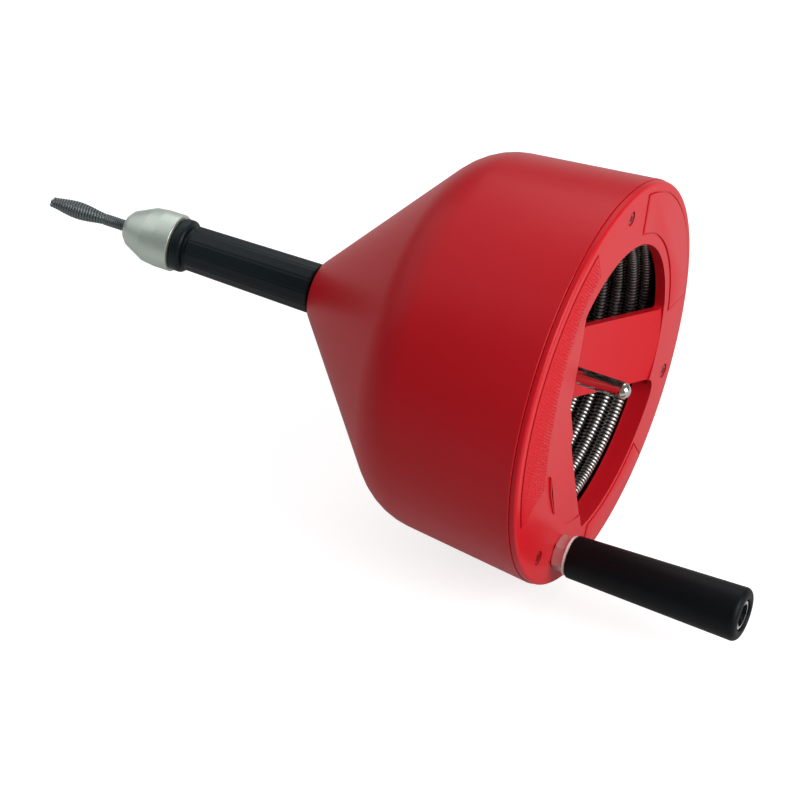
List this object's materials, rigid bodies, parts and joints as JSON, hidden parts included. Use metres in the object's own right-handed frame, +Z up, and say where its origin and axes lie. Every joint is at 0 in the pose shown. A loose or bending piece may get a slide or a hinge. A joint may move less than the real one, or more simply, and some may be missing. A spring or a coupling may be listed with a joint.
{
  "type": "drain snake machine",
  "caption": "Hand-cranked drum auger: red funnel drum with windowed rear cover, hexagon drive shaft, crank handle, turning grip and cable chuck on a wound steel cable with a bulb tip.",
  "frame": {"origin": "centre of the machine's footprint, on the surface below the drum's rear lip", "axes": "+X along the drum axis towards the chuck, +Z up, crank handle on the +Y side below the axis"},
  "size_m": [0.4348, 0.2198, 0.2197],
  "materials": {
    "red_plastic": "satin moulded plastic",
    "black_plastic": "matt moulded plastic",
    "plain_steel": "plain steel",
    "bright_zinc": "bright zinc plate",
    "satin_zinc": "satin zinc alloy",
    "cable_steel": "wound spring steel",
    "pale_plastic": "pale nylon"
  },
  "bodies": {
    "drum": {"drum_shell": "red_plastic", "rear_cover": "red_plastic", "chuck_collar": "black_plastic", "throat_bush": "black_plastic", "grip_washer_rear": "black_plastic", "grip_washer_front": "black_plastic", "drive_shaft": "plain_steel", "shaft_washer": "plain_steel", "cover_screw_1": "plain_steel", "cover_screw_2": "plain_steel", "cover_screw_3": "plain_steel", "crank_spindle": "plain_steel", "spout_tube": "plain_steel", "tube_clip": "plain_steel", "chuck_body": "plain_steel", "cable_anchor": "plain_steel", "crank_nut": "bright_zinc", "shaft_nut": "bright_zinc", "spindle_locknut": "bright_zinc", "cable_coil": "cable_steel", "handle_washer": "pale_plastic"},
    "grip": {"grip_sleeve": "black_plastic"},
    "handle": {"crank_handle": "black_plastic"},
    "sleeve": {"chuck_sleeve": "satin_zinc"},
    "jaw_1": {"chuck_jaw_1": "plain_steel"},
    "jaw_2": {"chuck_jaw_2": "plain_steel"},
    "jaw_3": {"chuck_jaw_3": "plain_steel"},
    "feed": {"cable": "cable_steel", "cable_bulb": "cable_steel"}
  },
  "joints": [
    {"name": "grip_turn", "type": "hinge", "parent": "drum", "child": "grip", "pos_m": [0.08875, 0, 0.10987], "axis": [1, 0, 0], "continuous": true},
    {"name": "handle_turn", "type": "hinge", "parent": "drum", "child": "handle", "pos_m": [-0.16785, 0.05477, 0.03719], "axis": [1, 0, 0], "continuous": true},
    {"name": "sleeve_turn", "type": "hinge", "parent": "drum", "child": "sleeve", "pos_m": [0.15215, 0, 0.10987], "axis": [1, 0, 0], "range_deg": [0, 150]},
    {"name": "jaw_1_open", "type": "slide", "parent": "drum", "child": "jaw_1", "axis": [0, 0, -1], "range_m": [0, 0.00081]},
    {"name": "jaw_2_open", "type": "slide", "parent": "drum", "child": "jaw_2", "axis": [0, 0.866, 0.5], "range_m": [0, 0.00081]},
    {"name": "jaw_3_open", "type": "slide", "parent": "drum", "child": "jaw_3", "axis": [0, -0.866, 0.5], "range_m": [0, 0.00081]},
    {"name": "cable_feed", "type": "slide", "parent": "drum", "child": "feed", "axis": [1, 0, 0], "range_m": [0, 0.09]}
  ],
  "couplings": [
    {"joint": "jaw_1_open", "follows": "sleeve_turn", "m_per_rad": 0.00030558},
    {"joint": "jaw_2_open", "follows": "sleeve_turn", "m_per_rad": 0.00030558},
    {"joint": "jaw_3_open", "follows": "sleeve_turn", "m_per_rad": 0.00030558}
  ]
}
